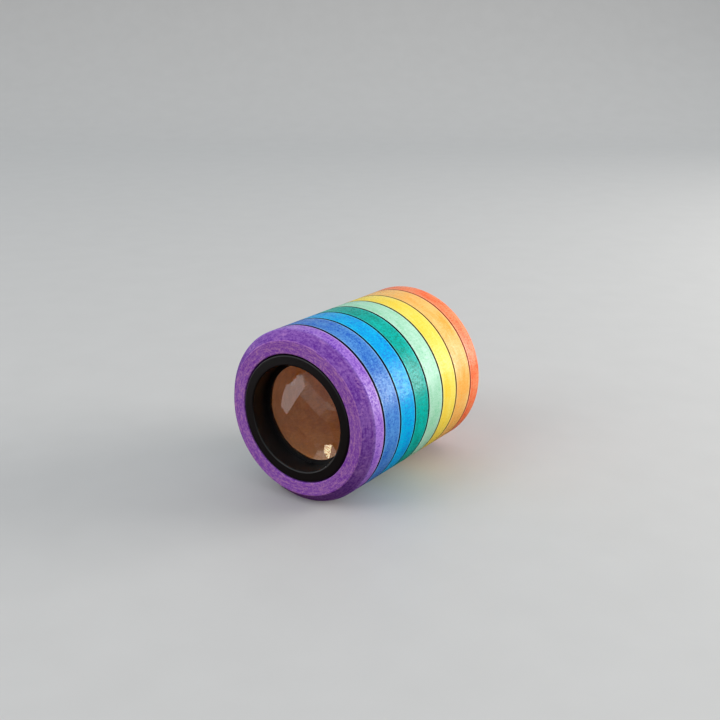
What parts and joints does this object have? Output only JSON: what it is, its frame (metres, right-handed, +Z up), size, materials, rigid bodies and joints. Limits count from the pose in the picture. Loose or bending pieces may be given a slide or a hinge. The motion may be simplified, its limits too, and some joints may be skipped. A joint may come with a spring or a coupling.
{
  "type": "kaleidoscope",
  "caption": "Short round hand-held kaleidoscope: stained wooden barrel in rainbow bands, turning faceted lens in a black ring, mirror tunnel and eyepiece.",
  "frame": {"origin": "on the surface that the barrel lies on, under the middle of its length", "axes": "+Y along the barrel axis from the lens to the eyepiece, +Z up, +X to the right seen from the lens end"},
  "size_m": [0.05, 0.0606, 0.05],
  "materials": {
    "stained_violet": "satin stain, grain showing through",
    "stained_blue": "satin stain, grain showing through",
    "stained_sky": "satin stain, grain showing through",
    "stained_teal": "satin stain, grain showing through",
    "stained_mint": "satin stain, grain showing through",
    "stained_yellow": "satin stain, grain showing through",
    "stained_orange": "satin stain, grain showing through",
    "stained_red": "satin stain, grain showing through",
    "black_plastic": "satin moulded",
    "spring_steel": "dull",
    "lens_glass": "polished facets",
    "window_clear": "polished",
    "card": "bare brown card",
    "mirror": "silvered"
  },
  "bodies": {
    "barrel": {"band_violet": "stained_violet", "band_blue": "stained_blue", "band_sky": "stained_sky", "band_teal": "stained_teal", "band_mint": "stained_mint", "band_yellow": "stained_yellow", "band_orange": "stained_orange", "band_red": "stained_red", "cell_liner": "black_plastic", "inner_tube": "card", "mirror_right": "mirror", "mirror_left": "mirror", "mirror_top": "mirror", "mirror_collar_front": "card", "mirror_collar_rear": "card", "eyepiece_cup": "black_plastic", "eyepiece_window": "window_clear", "eyepiece_retaining_ring": "black_plastic"},
    "lens_cell": {"lens_bezel": "black_plastic", "faceted_lens": "lens_glass", "lens_retaining_ring": "black_plastic", "bezel_circlip": "spring_steel"}
  },
  "joints": [
    {"name": "lens_turn", "type": "hinge", "parent": "barrel", "child": "lens_cell", "pos_m": [0, -0.0259, 0.025], "axis": [0, -1, 0], "continuous": true}
  ]
}
